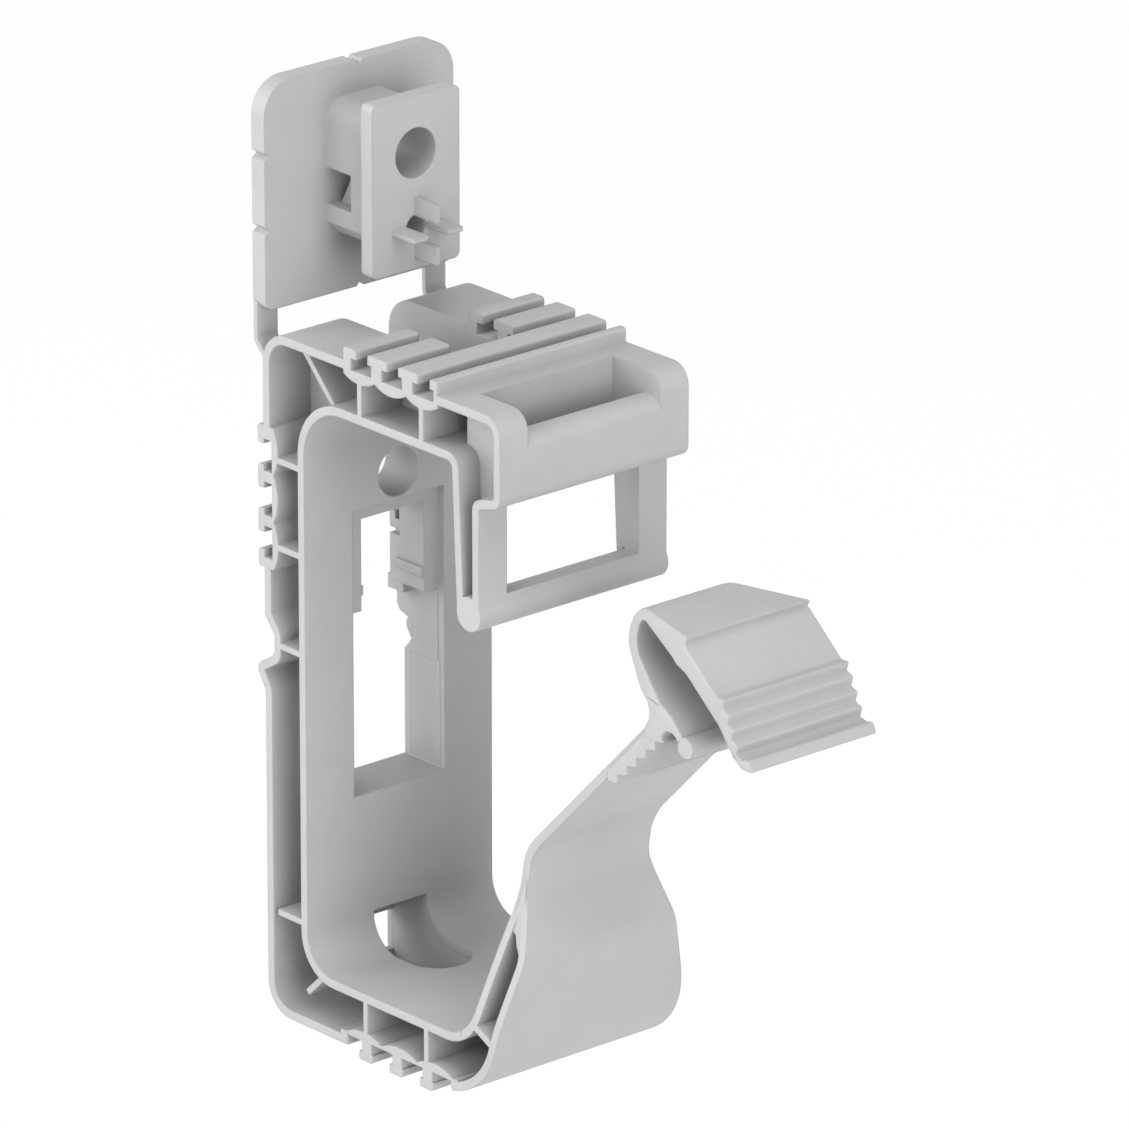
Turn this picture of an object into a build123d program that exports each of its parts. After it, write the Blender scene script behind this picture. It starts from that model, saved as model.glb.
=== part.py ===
# Snap-closing holder for a bundle of cables, moulded in one piece of grey plastic
# X runs across the holder, +Y points into the wall that it is screwed to, +Z is up
# The origin is the centre of the screw bore's mouth, on the face that the screw head bears on
import os
from math import cos, radians, sin, tan

from build123d import *

# Holder body
width = 32.8
space_height = 80.8
space_depth = 30.2
screw_to_top = 13.45
loop_wall = 1.25
outer_wall = 1.25
gap = 5.8
bottom_gap = 5.95
web = 0.85
hook_stand = 1.5
screw_bore = 7.0
boss_wall = 1.6
top_web = 19.8
bottom_web = 20.3
rear_web = 3.85
dip_web = -22.45
low_web = -60.95

# Corners of the cable space and of the outer wall
space_round = 7.5
floor_round = 5.2
leg_round = 1.0
outer_round = 4.7
toe_round = 11.0

# Front legs, hood and latch window
leg_lean = 0.95
leg_foot = 20.4
latch_depth = 5.3
hood_overhang = 4.3
hood_drop = 13.5
hood_slope = 1.1
hood_round = 2.9
bead_radius = 2.4
bead_offset = 0.3
window_half = 11.5
window_top = 8.0
window_sill = -4.6
pocket_side = 1.2
lip_fall = 3.4
lip_reach = 1.9
lip_bend = 2.0

# Front wall and arm
floor_reach = 2.85
front_lean = 10.6
knee_rise = 27.5
knee_round = 8.0
bulge_reach = 4.1
bulge_rise = 21.0
bulge_round = 6.0
neck_rise = 29.9
arm_angle = 45.3
arm_length = 34.9
arm_half = 10.6
toe_web = 1.0
toe_web_rise = 1.9

# Grip head at the end of the arm
head_half = 11.0
fold_wall = 1.25
fold_round = 1.9
fold_strip = [(-6.8, -0.2), (1.3, 7.1), (4.15, 17.5), (-3.5, 10.8)]
plate_tip = [(-0.3, 13.6), (1.2, 15.3), (-2.2, 15.4)]
plate_ledge = [(-7.4, 13.8), (-6.9, 12.8), (-13.3, 7.3)]
plate_flange = [(-18.2, 0.1), (-19.4, 0.35), (-20.2, -1.15), (-18.3, -1.25)]
plate_inside = [(-16.5, 0.1), (-13.8, 3.5), (-7.4, 8.9)]
plate_bend = 3.0
flange_round = 1.6
tongue_bead_at = (-7.4, -1.4)
bite_at = (-4.3, -1.65)
ridge_first = (-14.8, 7.4)
ridge_count = 4
ridge_step = (-0.87, -1.87)
ridge_foot = (0.4, -1.4)
bite_radius = 1.6
tongue_bead = 1.45
tooth_count = 5
tooth_first = (-1.5, -3.4)
tooth_step = (1.85, -1.7)
tooth_depth = 1.3

# Mating rails on top, behind and below
rail_pitch = 6.25
top_rail = 1.95
top_lip = 1.4
top_sink = 1.05
top_spare = 0.25
top_rail_reach = 16.6
end_head = 2.6
rear_length = 20.1
rear_rail_drop = 5.3
bottom_length = 21.8
bottom_rail_reach = 16.3
bottom_sink = 1.5
rear_rail = 1.2
bottom_rail = 1.25
rail_lip = 1.2
rail_arc_sag = 0.9
rail_edge = 0.4
rear_floor = 1.65

# Channel and openings in the rear wall
channel_half = 5.5
rear_window_half = 8.0
rear_window_top = -3.85
rear_window_sill = -44.75
channel_wall = 1.2
wide_slot_top = -18.95
slot_top = -5.85
top_cut_reach = 26.3
tie_half = 4.7
tie_top = -62.0
tie_reach = 7.8
tie_slot_top = -66.25
tie_slot_foot = -72.15

# Break-off adapter above the holder
plate_thick = 2.6
plate_height = 31.6
plate_rise = 2.5
plate_round = 4.7
plate_proud = 0.4
plate_foot_round = 1.5
notch_wide = 1.3
notch_deep = 0.8
neck_half = 5.6
neck_length = 9.3
neck_foot = 8.5
neck_height = 18.7
neck_round = 2.8
face_half = 7.6
face_thick = 2.2
face_foot = 5.3
face_height = 24.1
face_round = 1.0
adapter_bore = 7.0
adapter_bore_rise = 21.45
pin_hole = 3.4
pin_rise = 11.15
fin_reach = 4.2
fin_thick = 0.7
fin_proud = 4.6
strap_width = 3.5
strap_thick = 0.75

half = width / 2
y_space = 0.0
y_loop = y_space + loop_wall
y_outer = y_loop + gap + outer_wall
y_wall = y_outer + hook_stand
y_leg = y_space - space_depth
y_front = y_leg - latch_depth
y_hood = y_front - hood_overhang
z_space = screw_to_top
z_loop = z_space + loop_wall
z_top = z_loop + gap + outer_wall
z_floor = z_space - space_height
z_under = z_floor - loop_wall
z_bottom = z_under - bottom_gap - outer_wall
lean = tan(radians(front_lean))


def parallel(points, distance):
    """Points of the outline that lies at a distance to the left of a run of points"""
    lines = []
    for a, b in zip(points[:-1], points[1:]):
        run = Vector(b[0] - a[0], b[1] - a[1]).normalized()
        side = Vector(-run.Y, run.X) * distance
        lines.append((Vector(*a) + side, run))
    result = [lines[0][0]]
    for (p, u), (q, v) in zip(lines[:-1], lines[1:]):
        cross = u.X * v.Y - u.Y * v.X
        step = ((q.X - p.X) * v.Y - (q.Y - p.Y) * v.X) / cross
        result.append(p + u * step)
    last = Vector(*points[-1]) + Vector(-lines[-1][1].Y, lines[-1][1].X) * distance
    result.append(last)
    return [(p.X, p.Y) for p in result]


def turns_left(a, b, c):
    return (b[0] - a[0]) * (c[1] - b[1]) - (b[1] - a[1]) * (c[0] - b[0]) > 0


def wall(points, radii, thickness):
    """A wall of even thickness, to the left of its path, or to the right where negative"""
    other = parallel(points, thickness)
    other_radii = []
    for i, radius in enumerate(radii):
        left = turns_left(*points[i:i + 3])
        grown = radius - thickness if left else radius + thickness
        other_radii.append(max(grown, 0.3))
    near = FilletPolyline(*points, radius=radii)
    far = FilletPolyline(*other, radius=other_radii)
    ends = [Line(points[0], other[0]), Line(points[-1], other[-1])]
    return make_face(near.edges() + far.edges() + ends)


def block(y0, y1, z0, z1):
    """A rectangle of the side view, given by its limits"""
    return Pos((y0 + y1) / 2, (z0 + z1) / 2) * Rectangle(abs(y1 - y0), abs(z1 - z0))


def across(sketch, x0, x1):
    """A side-view sketch made solid from x0 to x1"""
    return extrude(Plane.YZ.offset(x0) * sketch, x1 - x0)


def both_sides(sketch, x0, x1):
    """The same solid on both sides of the middle plane"""
    return across(sketch, x0, x1) + across(sketch, -x1, -x0)


def box(x0, x1, y0, y1, z0, z1):
    return across(block(y0, y1, z0, z1), x0, x1)


# Path of the inner wall: leg, roof, back, floor, front wall and arm in one line
leg_end = (y_leg - leg_lean, z_space - leg_foot)
floor_front = (y_leg - floor_reach, z_floor)
knee = (floor_front[0] - knee_rise * lean, z_floor + knee_rise)
arm_end = (knee[0] - arm_length * cos(radians(arm_angle)), knee[1] + arm_length * sin(radians(arm_angle)))
loop_path = [leg_end, (y_leg, z_space), (y_space, z_space), (y_space, z_floor), floor_front, knee, arm_end]
loop_radii = [leg_round, space_round, floor_round, floor_round, knee_round]

# Path of the outer wall, with the dip and the nose behind the channel
dip_top = wide_slot_top + 0.2
dip_deep = 1.9
dip_drop = 2.3
dip_high = 2.9
nose_proud = 2.0
nose_drop = 2.4
nose_end = 3.2
dip_z = dip_top - dip_drop
nose_z = dip_z - dip_high - nose_drop
bulge = (y_leg - floor_reach - bulge_reach - 3.9, z_bottom + bulge_rise)
neck = (floor_front[0] - loop_wall - neck_rise * lean * 0.75, z_bottom + neck_rise)
neck_end = (neck[0] - 4.0 * lean, neck[1] + 4.0)
outer_path = [
    (y_front, leg_end[1]),
    (y_front, z_top - hood_drop),
    (y_hood, z_top - hood_drop + hood_slope),
    (y_hood, z_top),
    (y_outer, z_top),
    (y_outer, dip_top),
    (y_outer - dip_deep, dip_z),
    (y_outer - dip_deep, dip_z - dip_high),
    (y_outer + nose_proud, nose_z),
    (y_outer, nose_z - nose_end),
    (y_outer, z_bottom),
    (floor_front[0] - bulge_reach + 0.2, z_bottom),
    bulge,
    neck,
    neck_end,
]
outer_radii = [0.5, 1.8, hood_round, outer_round, 0.8, 1.0, 1.0, 1.3, 0.8, outer_round, toe_round,
               bulge_round, bulge_round]


def rail(start, along, out, length, floor, height, lip, bars, arcs):
    """A rail of undercut bars on a wall that bows inwards under each groove"""
    def at(u, v):
        return (start[0] + along[0] * u + out[0] * v, start[1] + along[1] * u + out[1] * v)

    cusps = [length * i / arcs for i in range(arcs + 1)]
    edges = [Line(at(0, 0), at(length, 0))]
    edges += [Line(at(0, 0), at(0, -floor)), Line(at(length, 0), at(length, -floor))]
    for u0, u1 in zip(cusps[:-1], cusps[1:]):
        edges.append(ThreePointArc(at(u0, -floor), at((u0 + u1) / 2, -floor - rail_arc_sag), at(u1, -floor)))
    row = make_face(edges)
    for head0, head1, stem0, stem1 in bars:
        points = [(stem0, -floor), (stem0, height - lip), (head0, height - lip), (head0, height),
                  (head1, height), (head1, height - lip), (stem1, height - lip), (stem1, -floor)]
        points = [p for p, q in zip(points, points[1:] + points[:1]) if p != q]
        bar = make_face(Polyline(*[at(*p) for p in points], close=True))
        tips = [at(head0, height), at(head1, height)]
        corners = [v for v in bar.vertices() if min(abs(v.X - p[0]) + abs(v.Y - p[1]) for p in tips) < 0.01]
        row += fillet(corners, rail_edge)
    return row


def tee_bars(first, count, head, stem, lead):
    """Bars at the rail pitch, each a head with its stem set back by lead"""
    starts = [first + i * rail_pitch for i in range(count)]
    return [(u, u + head, u + lead, u + lead + stem) for u in starts]


# Top rail: two bars and the bars at both ends
top_length = 3 * rail_pitch + top_spare
top_start = (y_outer - top_rail_reach, z_top - top_sink)
top_bars = [(0, end_head, 0, 1.5)] + tee_bars(4.9, 2, 3.95, 2.1, 0.75)
top_bars += [(top_length - 1.5, top_length, top_length - 0.75, top_length)]
top_row = rail(top_start, (-1, 0), (0, 1), top_length, 0.75, top_sink + top_rail, top_lip, top_bars, 3)

# Rear rail: two hooks and a half hook at both ends
rear_start = (y_outer - rear_floor, screw_to_top - rear_rail_drop)
rear_bars = [(0, end_head, 0, 1.9)] + tee_bars(5.6, 2, 3.3, 1.6, 0.8)
rear_bars += [(rear_length - 2.5, rear_length, rear_length - 1.4, rear_length)]
rear_row = rail(rear_start, (0, -1), (1, 0), rear_length, 0.3, rear_floor + rear_rail, rail_lip, rear_bars, 3)

# Bottom rail: three hooks under a wall that steps up between them
bottom_start = (y_outer - bottom_rail_reach, z_bottom + bottom_sink)
bottom_bars = tee_bars(2.7, 3, 2.75, 1.9, 0.6)
bottom_height = bottom_sink + bottom_rail
bottom_row = rail(bottom_start, (-1, 0), (0, -1), bottom_length, 0.45, bottom_height, rail_lip, bottom_bars, 3)


def bare_wall():
    """The outer wall, cut away where the three rails stand"""
    sketch = wall(outer_path, outer_radii, -outer_wall)
    reach = 5 * outer_wall
    sketch -= block(top_start[0], top_start[0] - top_length, z_top - reach, z_top + reach)
    sketch -= block(y_outer - reach, y_outer + reach, rear_start[1], rear_start[1] - rear_length)
    sketch -= block(bottom_start[0], bottom_start[0] - bottom_length, z_bottom - reach, z_bottom + reach)
    return sketch


def webs():
    """Thin webs that tie the inner wall to the outer wall"""
    sketch = Sketch()
    for y in (y_outer - top_web, y_outer - top_web - 2 * rail_pitch):
        sketch += block(y - web / 2, y + web / 2, z_space + 0.2, z_top - outer_wall - 0.2)
    for z in (rear_web, rear_web - 2 * rail_pitch + 0.15, dip_web, low_web):
        sketch += block(y_space + 0.2, y_outer - 2.2, z - web / 2, z + web / 2)
    for y in (y_outer - bottom_web, y_outer - bottom_web - 2 * rail_pitch):
        sketch += block(y - web / 2, y + web / 2, z_floor - 0.2, z_bottom + 2.4)
    return sketch


def toe_rib():
    """The slanting web that parts the slim pocket of the front wall from the toe"""
    inner = (floor_front[0] - 0.5, z_floor + toe_web_rise)
    outer = (inner[0] - 3.9, inner[1] - 1.7)
    return make_face(Polyline(inner, (inner[0], inner[1] + toe_web), (outer[0], outer[1] + toe_web), outer, close=True))


def side_profile():
    sketch = wall(loop_path, loop_radii, loop_wall)
    sketch += bare_wall()
    sketch += top_row + rear_row + bottom_row
    sketch += webs() + toe_rib()
    bead_y = (leg_end[0] + y_front) / 2 - bead_offset + 0.15
    sketch += Pos(bead_y, leg_end[1]) * Circle(bead_radius)
    sketch += block(leg_end[0] - 0.2, y_front + 0.2, leg_end[1], leg_end[1] + 2.05)
    return sketch


def soften(face, points, radius):
    """Rounds the corners of a flat face that lie at the given points"""
    corners = [v for v in face.vertices() if min(abs(v.X - p[0]) + abs(v.Y - p[1]) for p in points) < 0.01]
    return fillet(corners, radius)


def grip_profile():
    """The grip: a folded strip, a thick plate with ridges, a tongue and the teeth of the arm"""
    def at(dy, dz):
        return (arm_end[0] + dy, arm_end[1] + dz)

    fold = wall([at(*p) for p in fold_strip], [2.5, fold_round], -fold_wall)
    ridges = []
    for i in range(ridge_count):
        tip = (ridge_first[0] + ridge_step[0] * i, ridge_first[1] + ridge_step[1] * i)
        ridges += [at(*tip), at(tip[0] + ridge_foot[0], tip[1] + ridge_foot[1])]
    front = [at(*p) for p in plate_tip + plate_ledge]
    inside = [at(*p) for p in plate_inside]
    flange = [at(*p) for p in plate_flange]
    plate = make_face(Polyline(*front, *ridges, *flange, *inside, at(-3.3, 10.9), close=True))
    plate = soften(plate, [front[2]] + inside, plate_bend)
    plate = soften(plate, [flange[-1]], flange_round)

    teeth = [at(-3.2, -1.85)]
    for i in range(tooth_count):
        tip = (tooth_first[0] + tooth_step[0] * i, tooth_first[1] + tooth_step[1] * i)
        teeth += [at(tip[0], tip[1] + tooth_depth), at(*tip)]
    comb = make_face(Polyline(*teeth, at(7.8, -10.3), at(7.9, -9.0), at(-1.1, 0.3), close=True))
    root = make_face(Polyline(at(-0.6, 0.5), at(-2.3, 3.3), at(-6.7, -0.3), at(-5.9, -1.9), at(0.2, -2.2), close=True))
    bite = at(*bite_at)
    root -= Pos(*bite) * Circle(bite_radius)
    root -= block(bite[0] - bite_radius, bite[0] + bite_radius, bite[1], bite[1] - 3)
    return fold + plate + comb + root + Pos(*at(*tongue_bead_at)) * Circle(tongue_bead)


def waist_cut():
    """What is taken off both sides of the front wall, so that it narrows into the arm like a bottle"""
    curve = [(1.0, -0.9), (0.74, 7.1), (0.345, 14.7), (0.026, 20.9), (0.0, 23.6)]
    points = [(arm_half + (half - arm_half) * share, z_floor + rise) for share, rise in curve]
    top = leg_end[1] - bead_radius - 1.5
    edges = [Spline(*points, tangents=[(0, 1), (0, 1)]), Line(points[-1], (arm_half, top))]
    edges.append(Polyline((arm_half, top), (half + 1, top), (half + 1, points[0][1]), points[0]))
    blank = make_face(Curve() + edges)
    near = floor_front[0] + 1.4
    cut = extrude(Plane.XZ.offset(-near) * blank, 60)
    return cut + mirror(cut, about=Plane.YZ)


def adapter():
    """The break-off adapter: back plate, neck, face plate with its pin hole, and two straps"""
    y_back = y_wall + plate_proud
    y_plate = y_back - plate_thick
    y_neck = y_plate - neck_length
    foot = z_top + plate_rise
    middle = foot + plate_height / 2
    back = box(-half, half, y_plate, y_back, foot, foot + plate_height)
    upright = back.edges().filter_by(Axis.Y)
    back = fillet(upright.group_by(Axis.Z)[-1], plate_round)
    back = fillet(back.edges().filter_by(Axis.Y).group_by(Axis.Z)[0], plate_foot_round)
    for x, z, turn in notch_places(foot):
        vee = Polyline((0, -notch_wide / 2), (0, notch_wide / 2), (notch_deep, 0), close=True)
        vee = Plane.XZ.offset(-y_back - 1) * Pos(x, z) * Rot(0, 0, turn) * make_face(vee)
        back -= extrude(vee, plate_thick + 2)
    neck_solid = box(-neck_half, neck_half, y_neck, y_plate, foot + neck_foot, foot + neck_foot + neck_height)
    neck_solid = fillet(neck_solid.edges().filter_by(Axis.Y).group_by(Axis.Z)[-1], neck_round)
    neck_solid = chamfer(neck_solid.edges().filter_by(Axis.Y).group_by(Axis.Z)[0], 1.7)
    face_foot_z = foot + face_foot
    face = box(-face_half, face_half, y_neck - face_thick, y_neck, face_foot_z, face_foot_z + face_height)
    face = fillet(face.edges().filter_by(Axis.Y), face_round)
    solid = back + neck_solid + face
    for side_x in (-1, 1):
        x0, x1 = sorted((side_x * (half - strap_width), side_x * half))
        solid += across(strap_profile(foot, y_back), x0, x1)
    return solid


def notch_places(foot):
    """Break-off notches: top and bottom middle, and two on each side"""
    places = [(0, foot + plate_height, -90), (0, foot, 90)]
    for z in (foot + pin_rise, foot + adapter_bore_rise):
        places += [(-half, z, 0), (half, z, 180)]
    return places


def strap_profile(foot, y_back):
    """A strap leaves the back plate, runs down and curves in to the outer wall"""
    y_out = y_back - 0.1
    path = [(y_out, foot + 1), (y_out, foot - 4.6), (y_outer - 0.4, z_top - 4.4)]
    return wall(path, [1.6], -strap_thick)


def adapter_holes(foot):
    """The bore and the pin hole of the adapter, with the four fins about the pin hole"""
    y_face = y_wall + plate_proud - plate_thick - neck_length - face_thick
    depth = face_thick + neck_length + plate_thick + fin_proud + 2
    bores = []
    for rise, size in ((adapter_bore_rise, adapter_bore), (pin_rise, pin_hole)):
        disc = Plane.XZ.offset(-y_wall - plate_proud - 1) * Pos(0, foot + rise) * Circle(size / 2)
        bores.append(extrude(disc, depth))
    fins = Part()
    for turn in range(4):
        blade = Pos(fin_reach / 2, 0) * Rectangle(fin_reach, fin_thick)
        blade = Plane.XZ.offset(-y_face) * Pos(0, foot + pin_rise) * Rot(0, 0, 90 * turn) * blade
        fins += extrude(blade, fin_proud)
    return bores, fins


def holder():
    side = side_profile()
    filled = make_face(side.faces()[0].outer_wire())
    body = across(side, -half, half)
    body -= waist_cut()
    body += across(grip_profile(), -head_half, head_half)

    # Hood pocket and latch window, closed at the sides and behind
    far = y_wall + 5.0
    front = filled & block(y_hood - 1, y_leg + pocket_side, window_sill, z_top + 1)
    body += both_sides(front, window_half, window_half + pocket_side)
    closing = block(y_leg, y_leg + pocket_side, z_loop - 0.3, z_top - 0.3)
    body += across(closing, -window_half - pocket_side, window_half + pocket_side)
    body -= box(-window_half, window_half, y_hood, y_leg + 0.4, window_sill, window_top)
    body -= box(-window_half, window_half, y_hood - 1, y_leg, z_top - lip_fall - lip_bend, z_top + far)
    lip_top = z_top - lip_fall
    lip_path = [(y_hood, lip_top - lip_bend - 1), (y_hood, lip_top), (y_hood + lip_reach + 1.3, lip_top)]
    body += across(wall(lip_path, [lip_bend], -outer_wall), -window_half - 0.1, window_half + 0.1)

    # Channel for the adapter, from the wide slot up to the window top
    rear = filled & block(y_space, far, wide_slot_top, z_top + far)
    cut_front = y_outer - top_cut_reach
    roof = filled & block(cut_front - channel_wall, far, z_space, z_top + far)
    body += both_sides(rear + roof, channel_half, rear_window_half + channel_wall)
    low = filled & block(y_space, far, rear_window_sill - channel_wall, wide_slot_top)
    body += both_sides(low, rear_window_half, rear_window_half + channel_wall)
    lintel = block(y_loop - 0.3, y_outer - 0.3, slot_top, rear_window_top + 0.3)
    body += across(lintel, -channel_half, channel_half)
    sill = block(y_space + 0.2, y_outer - 0.2, rear_window_sill - channel_wall, rear_window_sill)
    body += across(sill, -rear_window_half - channel_wall, rear_window_half + channel_wall)
    body -= box(-rear_window_half, rear_window_half, y_space - 1, y_loop, rear_window_sill, rear_window_top)
    body -= box(-rear_window_half, rear_window_half, y_space - 1, far, rear_window_sill, wide_slot_top)
    body -= box(-channel_half, channel_half, y_loop, far, wide_slot_top - 1, slot_top)

    # Cut across the rear top corner, and the gap in the rear rail
    cut_back = block(y_loop, far, rear_start[1] + 0.5, z_top + far) + block(cut_front, far, z_loop, z_top + far)
    loop_area = make_face(wall(loop_path, loop_radii, loop_wall).faces()[0].outer_wire())
    cut_back -= loop_area
    body -= across(cut_back, -channel_half, channel_half)
    body -= box(-channel_half, channel_half, y_outer - rear_floor, far, rear_start[1] - rear_length, rear_start[1])

    # Screw boss behind the cable space
    ring = Pos(0, 0) * Circle(screw_bore / 2 + boss_wall)
    boss_end = y_outer - rear_floor
    body += extrude(Plane.XZ.offset(-boss_end) * ring, boss_end - y_loop + 0.5)
    body -= extrude(Plane.XZ.offset(-far) * Circle(screw_bore / 2), far - y_space + 1)

    # Opening for a cable tie in the lower rear corner
    tie_front = y_space - tie_reach
    corner = filled & block(tie_front - 3.5, far, z_bottom - 1, tie_top + 1)
    body += both_sides(corner, tie_half, tie_half + channel_wall)
    body -= box(-tie_half, tie_half, tie_front, y_outer - outer_wall, tie_top, z_floor)
    body -= box(-tie_half, tie_half, tie_front, y_outer - outer_wall, z_bottom + outer_wall, z_floor)
    eye = extrude(Plane.XY.offset(z_under - 0.3) * Pos(0, tie_front) * Circle(tie_half), floor_round)
    body -= eye
    body -= box(-tie_half, tie_half, y_outer - far, far, tie_slot_foot, tie_slot_top)

    # Break-off adapter
    foot = z_top + plate_rise
    bores, fins = adapter_holes(foot)
    body += adapter()
    body += fins
    for bore in bores:
        body -= bore
    return body


os.makedirs("parts", exist_ok=True)
part = holder()
part.label = "cable_holder"
export_step(part, "parts/cable_holder.step")
print("solids", len(part.solids()), "volume", round(part.volume), "box", part.bounding_box())
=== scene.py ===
import math

import bmesh
import bpy
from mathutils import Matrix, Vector


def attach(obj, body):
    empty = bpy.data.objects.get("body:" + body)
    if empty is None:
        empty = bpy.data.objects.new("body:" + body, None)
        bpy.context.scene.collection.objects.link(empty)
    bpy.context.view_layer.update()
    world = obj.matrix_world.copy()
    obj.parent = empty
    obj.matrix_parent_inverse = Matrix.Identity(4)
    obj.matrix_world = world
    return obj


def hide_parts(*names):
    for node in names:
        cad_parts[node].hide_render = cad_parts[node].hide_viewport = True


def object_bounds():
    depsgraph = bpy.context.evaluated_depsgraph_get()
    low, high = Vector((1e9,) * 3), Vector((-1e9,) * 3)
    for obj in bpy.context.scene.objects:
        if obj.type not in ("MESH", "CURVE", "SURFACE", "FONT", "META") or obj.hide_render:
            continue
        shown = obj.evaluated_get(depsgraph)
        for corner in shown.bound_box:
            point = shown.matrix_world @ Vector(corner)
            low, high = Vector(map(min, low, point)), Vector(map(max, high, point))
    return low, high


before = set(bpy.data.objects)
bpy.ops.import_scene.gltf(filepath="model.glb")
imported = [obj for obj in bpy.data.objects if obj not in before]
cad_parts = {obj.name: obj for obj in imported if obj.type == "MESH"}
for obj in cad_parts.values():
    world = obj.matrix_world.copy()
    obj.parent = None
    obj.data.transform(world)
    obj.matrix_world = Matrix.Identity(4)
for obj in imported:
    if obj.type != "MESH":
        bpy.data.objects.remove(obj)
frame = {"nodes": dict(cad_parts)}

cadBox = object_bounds()
print("frame loaded:", ", ".join(frame["nodes"]))

perMetre = 1000               # the outlines below are in millimetres, the meshes in metres


# camera, at the angle of the photograph

cameraSet = {
    "azimuth": -41.1,
    "elevation": 20.35,
    "distance": 1.5768,
    "target": (-0.0002, -0.034, -0.00375),
    "lens": 382.13,
    "sensor": 36.0,
    "farEnd": 50.0,
}


def pointAt(target, azimuth, elevation, distance):
    az, el = math.radians(azimuth), math.radians(elevation)
    back = Vector((math.sin(az) * math.cos(el), -math.cos(az) * math.cos(el), math.sin(el)))
    return Vector(target) + back * distance, back


def aim(thing, back):
    thing.rotation_euler = back.to_track_quat("Z", "Y").to_euler()


def makeCamera(look):
    cam = bpy.data.cameras.new("photoCamera")
    cam.lens = look["lens"]
    cam.sensor_width = look["sensor"]
    cam.clip_end = look["farEnd"]
    thing = bpy.data.objects.new("photoCamera", cam)
    bpy.context.scene.collection.objects.link(thing)
    thing.location, back = pointAt(look["target"], look["azimuth"], look["elevation"], look["distance"])
    aim(thing, back)
    bpy.context.scene.camera = thing
    print("camera set")


# the one plastic

plasticLook = {
    "name": "lightGreyMoulding",
    "colour": (0.33, 0.33, 0.33),
    "darkShare": 0.965,       # the darkest and the palest patches of the melt, against the colour
    "paleShare": 1.025,
    "darkUpTo": 0.3,
    "paleFrom": 0.7,
    "patches": {"Scale": 95.0, "Detail": 3.0, "Roughness": 0.55},
    "grain": {"Scale": 5200.0, "Detail": 2.0, "Roughness": 0.6},
    "flow": {"Scale": 420.0, "Detail": 2.0, "Roughness": 0.5},
    "grainBump": {"Strength": 0.6, "Distance": 0.00001},
    "flowBump": {"Strength": 0.5, "Distance": 0.00002},
    "roughLow": 0.46,
    "roughHigh": 0.6,
    "density": 1.49,          # index of refraction
    "specular": 0.36,
    "edgeRound": 0.0003,      # the mould's edges look rounded by this radius, in metres
    "edgeSamples": 6,
}


def newNode(tree, kind, **values):
    node = tree.nodes.new(kind)
    for name, value in values.items():
        node.inputs[name].default_value = value
    return node


def makePlastic(look):
    mat = bpy.data.materials.new(look["name"])
    mat.use_nodes = True
    tree = mat.node_tree
    link = tree.links.new
    shader = tree.nodes["Principled BSDF"]
    shader.inputs["Metallic"].default_value = 0.0
    shader.inputs["IOR"].default_value = look["density"]
    shader.inputs["Specular IOR Level"].default_value = look["specular"]

    place = tree.nodes.new("ShaderNodeTexCoord")
    patches = newNode(tree, "ShaderNodeTexNoise", **look["patches"])
    grain = newNode(tree, "ShaderNodeTexNoise", **look["grain"])
    flow = newNode(tree, "ShaderNodeTexNoise", **look["flow"])
    for noise in (patches, grain, flow):
        link(place.outputs["Object"], noise.inputs["Vector"])

    tint = tree.nodes.new("ShaderNodeValToRGB")
    dark, pale = tint.color_ramp.elements
    dark.color = tuple(c * look["darkShare"] for c in look["colour"]) + (1.0,)
    dark.position = look["darkUpTo"]
    pale.color = tuple(c * look["paleShare"] for c in look["colour"]) + (1.0,)
    pale.position = look["paleFrom"]
    link(patches.outputs["Fac"], tint.inputs["Fac"])
    link(tint.outputs["Color"], shader.inputs["Base Color"])

    sheen = newNode(tree, "ShaderNodeMapRange", **{"To Min": look["roughLow"], "To Max": look["roughHigh"]})
    link(flow.outputs["Fac"], sheen.inputs["Value"])
    link(sheen.outputs["Result"], shader.inputs["Roughness"])

    edges = newNode(tree, "ShaderNodeBevel", Radius=look["edgeRound"])
    edges.samples = look["edgeSamples"]
    flowBump = newNode(tree, "ShaderNodeBump", **look["flowBump"])
    grainBump = newNode(tree, "ShaderNodeBump", **look["grainBump"])
    link(flow.outputs["Fac"], flowBump.inputs["Height"])
    link(grain.outputs["Fac"], grainBump.inputs["Height"])
    link(edges.outputs["Normal"], flowBump.inputs["Normal"])
    link(flowBump.outputs["Normal"], grainBump.inputs["Normal"])
    link(grainBump.outputs["Normal"], shader.inputs["Normal"])
    return mat


# forms: an outline as (y, z) that runs along x

def addPrism(bm, outline, ends):
    rings = [[bm.verts.new((x / perMetre, y / perMetre, z / perMetre)) for y, z in outline] for x in ends]
    faces = [bm.faces.new(ring) for ring in rings]
    for a, b, c, d in zip(rings[0], rings[0][1:] + rings[0][:1], rings[1][1:] + rings[1][:1], rings[1]):
        faces.append(bm.faces.new((a, b, c, d)))
    bmesh.ops.recalc_face_normals(bm, faces=faces)
    return [v for ring in rings for v in ring]


def addForms(bm, forms):
    for form in forms:
        addPrism(bm, form["outline"], form["x"])
        if not form.get("once"):
            addPrism(bm, form["outline"], [-x for x in form["x"]])


def addWaisted(bm, outline, waist):
    # a form of the front wall, which narrows into the arm
    for v in addPrism(bm, outline, (-1, 1)):
        z = min(max(v.co.z * perMetre, waist[0][0]), waist[-1][0])
        for (z0, x0), (z1, x1) in zip(waist[:-1], waist[1:]):
            if z0 <= z <= z1:
                v.co.x = math.copysign(x0 + (x1 - x0) * (z - z0) / (z1 - z0), v.co.x) / perMetre
                break


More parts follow.
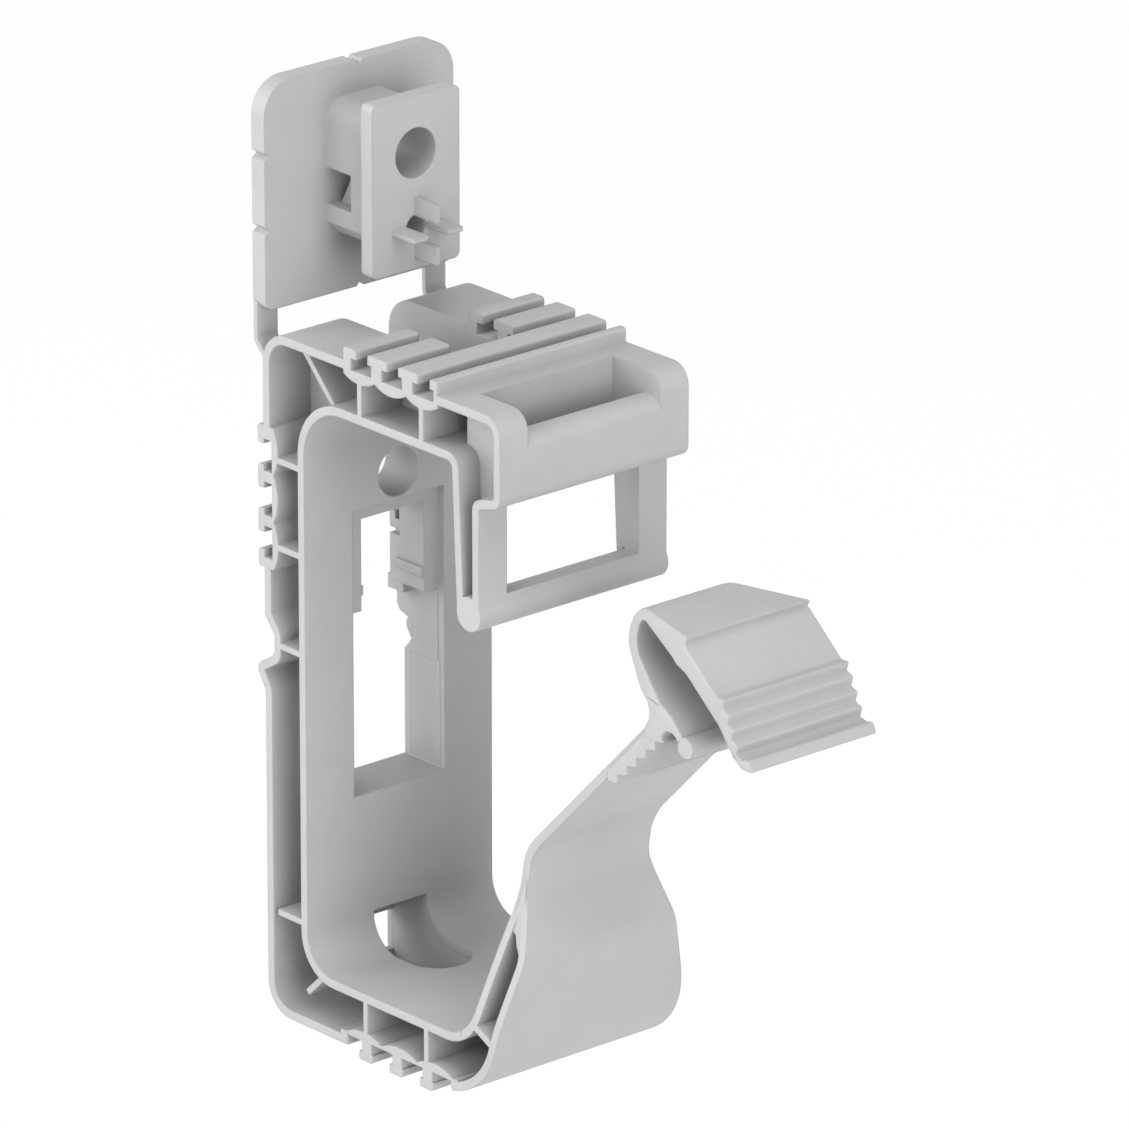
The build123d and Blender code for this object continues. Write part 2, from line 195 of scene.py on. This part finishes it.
def arcPoints(middle, radius, angles):
    return [(middle[0] + radius * math.cos(t), middle[1] + radius * math.sin(t)) for t in angles]


def roundedOutline(corners, stepAngle, share):
    # corners as (y, z, radius); an arc takes at most this share of the two sides it joins
    done = []
    for i, (y, z, radius) in enumerate(corners):
        here = Vector((y, z))
        back = Vector(corners[i - 1][:2]) - here
        ahead = Vector(corners[(i + 1) % len(corners)][:2]) - here
        turn = math.pi - back.angle(ahead)
        if radius == 0 or turn < math.radians(1):
            done.append((y, z))
            continue
        reach = min(radius * math.tan(turn / 2), share * back.length, share * ahead.length)
        radius = reach / math.tan(turn / 2)
        middle = here + (back.normalized() + ahead.normalized()).normalized() * math.hypot(reach, radius)
        spoke = here + back.normalized() * reach - middle
        sweep = -math.copysign(turn, back.x * ahead.y - back.y * ahead.x)
        steps = max(2, round(math.degrees(turn) / stepAngle))
        for k in range(steps + 1):
            c, s = math.cos(sweep * k / steps), math.sin(sweep * k / steps)
            done.append((middle.x + spoke.x * c - spoke.y * s, middle.y + spoke.x * s + spoke.y * c))
    return done


# mesh tools

def makeObject(name, bm):
    mesh = bpy.data.meshes.new(name)
    bm.to_mesh(mesh)
    bm.free()
    thing = bpy.data.objects.new(name, mesh)
    bpy.context.scene.collection.objects.link(thing)
    return thing


def mergedCopy(mesh, gap):
    bm = bmesh.new()
    bm.from_mesh(mesh)
    bmesh.ops.remove_doubles(bm, verts=bm.verts, dist=gap / perMetre)
    return bm


def applyAll(thing):
    graph = bpy.context.evaluated_depsgraph_get()
    done = bpy.data.meshes.new_from_object(thing.evaluated_get(graph))
    thing.modifiers.clear()
    thing.data = done


def cutAway(thing, bm, gap):
    cutter = makeObject("cutter", bm)
    change = thing.modifiers.new("cut", "BOOLEAN")
    change.operation = "DIFFERENCE"
    change.solver = "EXACT"
    change.object = cutter
    applyAll(thing)
    bpy.data.objects.remove(cutter)
    bm = mergedCopy(thing.data, gap)
    bm.to_mesh(thing.data)
    bm.free()
    print("cut:", thing.name, len(thing.data.polygons), "faces")


def roundEdges(thing, width, steps, angle):
    change = thing.modifiers.new("edges", "BEVEL")
    change.limit_method = "ANGLE"
    change.angle_limit = math.radians(angle)
    change.width = width / perMetre
    change.segments = steps
    change.use_clamp_overlap = False
    thing.data.polygons.foreach_set("use_smooth", [True] * len(thing.data.polygons))
    change = thing.modifiers.new("normals", "WEIGHTED_NORMAL")
    change.keep_sharp = False
    applyAll(thing)
    print("edges rounded:", thing.name, len(thing.data.polygons), "faces")


def smoothBends(thing, angle):
    # normals kept from the solid's own mesh would shade the cut faces wrongly
    for name in [a.name for a in thing.data.attributes if "normal" in a.name]:
        thing.data.attributes.remove(thing.data.attributes[name])
    bm = bmesh.new()
    bm.from_mesh(thing.data)
    bmesh.ops.triangulate(bm, faces=[f for f in bm.faces if len(f.verts) > 4])
    bm.to_mesh(thing.data)
    bm.free()
    thing.data.polygons.foreach_set("use_smooth", [True] * len(thing.data.polygons))
    thing.data.set_sharp_from_angle(angle=math.radians(angle))


def joinMeshes(thing, others):
    parts = [thing] + others
    with bpy.context.temp_override(active_object=thing, object=thing, selected_objects=parts,
                                   selected_editable_objects=parts):
        bpy.ops.object.join()


# the folded grip at the end of the arm; every point is counted from that end

gripLook = {
    "armEnd": (-62.7, -15.05),
    "half": 11.0,
    "overlap": 0.02,          # the root and the bead stand out this much at the sides
    "taper": 0.32,            # how much narrower the grip gets on each side, per millimetre towards its fold
    "taperLine": [(-0.6, 0.5), (-7.7, 13.5)],
    # corners as (y, z, radius)
    "fold": [(-1.0, 1.7, 0), (3.2, 3.4, 6.0), (8.05, 8.1, 2.5), (7.9, 13.9, 4.6)],
    "ledge": [(-7.4, 13.85, 0), (-6.9, 12.8, 0), (-13.3, 7.3, 0)],
    "ridges": {"count": 4, "first": (-14.8, 7.4), "step": (-0.87, -1.87), "foot": (0.4, -1.4)},
    "flange": [(-18.2, 0.1, 0), (-19.4, 0.35, 0), (-20.2, -1.15, 0), (-18.3, -1.25, 1.6)],
    "inside": [(-16.5, 0.1, 3.0), (-13.8, 3.5, 3.0), (-7.4, 8.9, 3.0), (-4.2, 10.15, 1.8), (5.2, 12.5, 1.6),
               (6.3, 8.3, 3.0), (-4.4, 2.2, 0)],
    "tongue": [(-6.8, -0.2, 0), (-5.9, -1.1, 0), (-4.6, 0.35, 0)],
    "cornerStep": 14,         # degrees of each straight in a rounded corner
    "cornerShare": 0.8,
    "root": [(1.0, -1.05), (0.1, 0.45), (0.15, 1.5), (0.9, 2.42), (2.1, 3.6), (-2.3, 3.3), (-6.7, -0.3)],
    "bite": {"at": (-4.3, -1.65), "radius": 1.6, "steps": 10, "foot": (0.2, -2.2)},
    "bead": {"at": (-7.4, -1.4), "radius": 1.45, "steps": 24},
    # what is taken off the plain grip of the solid
    "cut": [(-0.95, 0.5), (-3.35, -1.8), (-3.35, -6), (-26, -6), (-26, 20), (14, 20), (14, 5.5), (1.2, 2.2)],
    "cutMargin": 3,
    "edgeRound": 0.3,         # radius left on the edges
    "edgeSteps": 2,
    "edgeAngle": 34,          # only corners sharper than this are rounded, in degrees
}


def placed(points, look):
    return [(look["armEnd"][0] + p[0], look["armEnd"][1] + p[1]) for p in points]


def ridgeCorners(ridges):
    corners = []
    for i in range(ridges["count"]):
        y, z = [start + step * i for start, step in zip(ridges["first"], ridges["step"])]
        corners += [(y, z, 0), (y + ridges["foot"][0], z + ridges["foot"][1], 0)]
    return corners


def rootOutline(look):
    bite = look["bite"]
    angles = [math.pi - t * math.pi / bite["steps"] for t in range(bite["steps"] + 1)]
    arc = arcPoints(bite["at"], bite["radius"], angles)
    return look["root"] + arc + [(arc[-1][0], bite["foot"][1]), bite["foot"]]


def beadOutline(bead):
    angles = [2 * math.pi * t / bead["steps"] for t in range(bead["steps"])]
    return arcPoints(bead["at"], bead["radius"], angles)


def gripForms(look):
    bm = bmesh.new()
    corners = look["fold"] + look["ledge"] + ridgeCorners(look["ridges"]) + look["flange"] + look["inside"]
    side = roundedOutline(corners + look["tongue"], look["cornerStep"], look["cornerShare"])
    addPrism(bm, placed(side, look), (-look["half"], look["half"]))
    wide = look["half"] + look["overlap"]
    addPrism(bm, placed(rootOutline(look), look), (-wide, wide))

    # the sides draw in from the taper line towards the fold
    foot, ledge = [Vector(p) for p in placed(look["taperLine"], look)]
    run = (ledge - foot).normalized()
    inward = Vector((run.y, -run.x))
    bmesh.ops.triangulate(bm, faces=bm.faces[:])
    bmesh.ops.bisect_plane(bm, geom=bm.verts[:] + bm.edges[:] + bm.faces[:],
                           plane_co=(0, foot.x / perMetre, foot.y / perMetre),
                           plane_no=(0, inward.x, inward.y))
    for v in bm.verts:
        depth = (v.co.y * perMetre - foot.x) * inward.x + (v.co.z * perMetre - foot.y) * inward.y
        v.co.x -= math.copysign(max(depth, 0) * look["taper"] / perMetre, v.co.x)
    return bm


# the holder: a copy of the solid, cut and added to

holderLook = {
    "node": "cable_holder",
    "piece": "holder_moulding",
    "slot": "moulding",
    "smoothAngle": 30,        # bends up to this many degrees are shaded smooth
    "mergeGap": 0.002,
    # the two ends along x and the outline; each form is also made mirrored, unless it is made once
    "cuts": [
        # box behind the wide slot, and the wider top of the channel
        {"x": (-9.6, 9.6), "once": True, "outline": [(5.1, -29.5), (14, -29.5), (14, -18.95), (5.1, -18.95)]},
        {"x": (-6.5, 6.5), "once": True, "outline": [(6.3, -12.25), (14, -12.25), (14, -5.8), (6.3, -5.8)]},
        # lower rear half of the latch sill
        {"x": (-11.5, 11.5), "once": True,
         "outline": [(-32.5, -5.5), (-29.6, -5.5), (-29.6, -4.5), (-32.5, -4.5)]},
        # side notches of the adapter's neck
        {"x": (1.6, 5.8), "outline": [(2.8, 36.95), (7.6, 36.95), (7.6, 42.05), (2.8, 42.05)]},
    ],
    "adds": [
        # wall beside the channel, with its scallops, lip and snap ridge
        {"x": (7.96, 9.65), "outline": [(1.3, -18.8), (9.8, -18.8), (9.8, -23.4), (9.2, -24.3), (6.5, -25.2),
                                        (6.4, -27.2), (7.4, -28.6), (8.3, -29.6), (1.3, -29.6)]},
        {"x": (6.4, 8.3), "outline": [(6.6, -20.75), (9.8, -20.75), (9.8, -18.7), (6.6, -18.7)]},
        {"x": (5.15, 5.8), "outline": [(1.3, -16.8), (6.7, -16.8), (6.7, -15.4), (1.3, -15.4)]},
        # wedge inside the notch of the neck
        {"x": (1.5, 3.7), "outline": [(7.0, 36.9), (2.7, 36.9), (2.7, 41.8), (4.3, 41.8)]},
        # side walls of the rear window below the channel, and of the opening for a cable tie
        {"x": (7.97, 9.23), "outline": [(0.9, -29.3), (7.5, -29.3), (7.5, -45.66), (0.9, -45.66)]},
        {"x": (4.67, 5.9), "outline": [(8.0, -61.0), (8.0, -71.0), (6.6, -74.3), (3.6, -75.5), (-11.3, -75.5),
                                       (-11.3, -67.6), (-5.2, -67.6), (-2.45, -66.9), (-0.44, -64.9),
                                       (0.3, -62.1), (0.3, -61.0)]},
        # slanting ribs in the rear corners
        {"x": (5.6, 15.0), "outline": [(2.25, 20.35), (1.65, 20.95), (-4.95, 14.15), (-4.35, 13.55)]},
        {"x": (5.6, 15.0), "outline": [(-1.5, -69.2), (-0.95, -68.5), (2.0, -71.3), (1.45, -72.0)]},
        # block beside the channel, closed up to the bend of the cable space
        {"x": (5.55, 9.1), "outline": [(0.3, 12.6), (0.3, 20.8), (-7.4, 20.8), (-7.4, 14.4), (-4.4, 13.8),
                                       (-2.0, 12.6)]},
        # foot of the first and the last bottom groove
        {"x": (-16.37, 16.37), "once": True,
         "outline": [(-8.3, -75.77), (-6.8, -75.77), (-6.8, -73.9), (-8.3, -73.9)]},
        {"x": (-16.37, 16.37), "once": True,
         "outline": [(-31.0, -75.2), (-29.5, -75.2), (-29.5, -73.9), (-31.0, -73.9)]},
    ],
    # the two skins of the front wall join here, where the slim pocket ends
    "pocketTip": [(-36.8, -51.5), (-37.3, -51.65), (-37.95, -51.95), (-38.6, -53.25), (-39.6, -55.7),
                  (-39.9, -53.4), (-38.8, -48.95), (-38.2, -43.8)],
    # the front wall runs into the arm in one bow
    "bow": {"middle": (-50.5, -46.25), "radius": 12.0, "from": -3.2, "to": 44.7, "steps": 12,
            "back": [(-41.4, -37.3), (-38.2, -41.0), (-37.7, -46.6)]},
    # half the width of the front wall at each height, as (z, x)
    "waist": [(-53.5, 12.7), (-51.0, 11.9), (-48.9, 11.2), (-46.4, 10.65), (-43.0, 10.56)],
}


def bowOutline(bow):
    share = [k / bow["steps"] for k in range(bow["steps"] + 1)]
    angles = [math.radians(bow["from"] + (bow["to"] - bow["from"]) * s) for s in share]
    return arcPoints(bow["middle"], bow["radius"], angles) + bow["back"]


def makeHolder(look, grip, material):
    bm = mergedCopy(frame["nodes"][look["node"]].data, look["mergeGap"])
    openEdges = sum(1 for e in bm.edges if len(e.link_faces) != 2)
    thing = makeObject(look["piece"], bm)
    print("copy of the solid:", len(thing.data.polygons), "faces,", openEdges, "open edges")

    cuts = bmesh.new()
    addForms(cuts, look["cuts"])
    reach = grip["half"] + grip["cutMargin"]
    addPrism(cuts, placed(grip["cut"], grip), (-reach, reach))
    cutAway(thing, cuts, look["mergeGap"])
    smoothBends(thing, look["smoothAngle"])

    newGrip = makeObject("grip", gripForms(grip))
    roundEdges(newGrip, grip["edgeRound"], grip["edgeSteps"], grip["edgeAngle"])

    adds = bmesh.new()
    addForms(adds, look["adds"])
    half = grip["half"] + grip["overlap"]
    addPrism(adds, placed(beadOutline(grip["bead"]), grip), (-half, half))
    addWaisted(adds, look["pocketTip"], look["waist"])
    addWaisted(adds, bowOutline(look["bow"]), look["waist"])
    extra = makeObject("extra", adds)
    smoothBends(extra, look["smoothAngle"])

    joinMeshes(thing, [newGrip, extra])
    thing.data.materials.clear()
    thing.data.materials.append(material)
    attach(thing, "root")
    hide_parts(look["node"])
    print("holder dressed:", len(thing.data.polygons), "faces")


# light, room and floor

lampSet = {
    "sideLamp": {"azimuth": -95, "elevation": 20, "distance": 0.75, "size": 0.6, "watts": 3.2},
    "backLamp": {"azimuth": -143, "elevation": 18, "distance": 0.75, "size": 0.6, "watts": 3.9},
    "frontLamp": {"azimuth": -15, "elevation": 12, "distance": 0.9, "size": 0.7, "watts": 6.4},
    "topLamp": {"azimuth": -30, "elevation": 72, "distance": 0.8, "size": 0.7, "watts": 4.2},
}

stageSet = {
    "ambient": 0.40,          # light of the room on the object
    "floorDrop": 0.10,        # how far the floor lies under the lowest point
    "floorSize": 6.0,
    "floorColour": (0.93, 0.93, 0.93),
    "floorRough": 0.9,
    "floorGlow": 0.97,        # share of plain white that the camera sees; the rest keeps the shadow
}


def makeLamps(lamps, target):
    for name, look in lamps.items():
        lamp = bpy.data.lights.new(name, "AREA")
        lamp.shape = "DISK"
        lamp.size = look["size"]
        lamp.energy = look["watts"]
        thing = bpy.data.objects.new(name, lamp)
        bpy.context.scene.collection.objects.link(thing)
        thing.location, back = pointAt(target, look["azimuth"], look["elevation"], look["distance"])
        aim(thing, back)
    print("lamps set:", len(lamps))


def seenDirectly(tree):
    # 1 for what the camera, a mirror or clear glass sees, 0 for light that only falls on things
    path = tree.nodes.new("ShaderNodeLightPath")
    total = path.outputs["Is Camera Ray"]
    for name in ("Is Glossy Ray", "Is Transmission Ray"):
        add = tree.nodes.new("ShaderNodeMath")
        add.operation = "MAXIMUM"
        tree.links.new(total, add.inputs[0])
        tree.links.new(path.outputs[name], add.inputs[1])
        total = add.outputs[0]
    return total


def mixShaders(tree, share, first, second, output):
    mix = tree.nodes.new("ShaderNodeMixShader")
    tree.links.new(share, mix.inputs["Fac"])
    tree.links.new(first.outputs[0], mix.inputs[1])
    tree.links.new(second.outputs[0], mix.inputs[2])
    tree.links.new(mix.outputs[0], tree.nodes[output].inputs["Surface"])


def makeRoom(look):
    world = bpy.data.worlds.new("paleRoom")
    bpy.context.scene.world = world
    world.use_nodes = True
    tree = world.node_tree
    room = tree.nodes["Background"]
    room.inputs["Color"].default_value = (1, 1, 1, 1)
    room.inputs["Strength"].default_value = look["ambient"]
    white = newNode(tree, "ShaderNodeBackground", Color=(1, 1, 1, 1), Strength=1.0)
    mixShaders(tree, seenDirectly(tree), room, white, "World Output")


def makeFloor(look):
    mat = bpy.data.materials.new("paleFloor")
    mat.use_nodes = True
    tree = mat.node_tree
    shader = tree.nodes["Principled BSDF"]
    shader.inputs["Base Color"].default_value = look["floorColour"] + (1.0,)
    shader.inputs["Roughness"].default_value = look["floorRough"]
    glow = newNode(tree, "ShaderNodeEmission", Color=(1, 1, 1, 1), Strength=1.0)
    share = tree.nodes.new("ShaderNodeMath")
    share.operation = "MULTIPLY"
    share.inputs[1].default_value = look["floorGlow"]
    tree.links.new(seenDirectly(tree), share.inputs[0])
    mixShaders(tree, share.outputs[0], shader, glow, "Material Output")

    mesh = bpy.data.meshes.new("paleFloor")
    half = look["floorSize"] / 2
    level = cadBox[0][2] - look["floorDrop"]
    mesh.from_pydata([(-half, -half, level), (half, -half, level), (half, half, level), (-half, half, level)],
                     [], [(0, 1, 2, 3)])
    mesh.materials.append(mat)
    floor = bpy.data.objects.new("paleFloor", mesh)
    bpy.context.scene.collection.objects.link(floor)
    print("room and floor set")


makeCamera(cameraSet)
makeHolder(holderLook, gripLook, makePlastic(plasticLook))
makeLamps(lampSet, cameraSet["target"])
makeRoom(stageSet)
makeFloor(stageSet)
bpy.context.scene.view_settings.view_transform = "Standard"
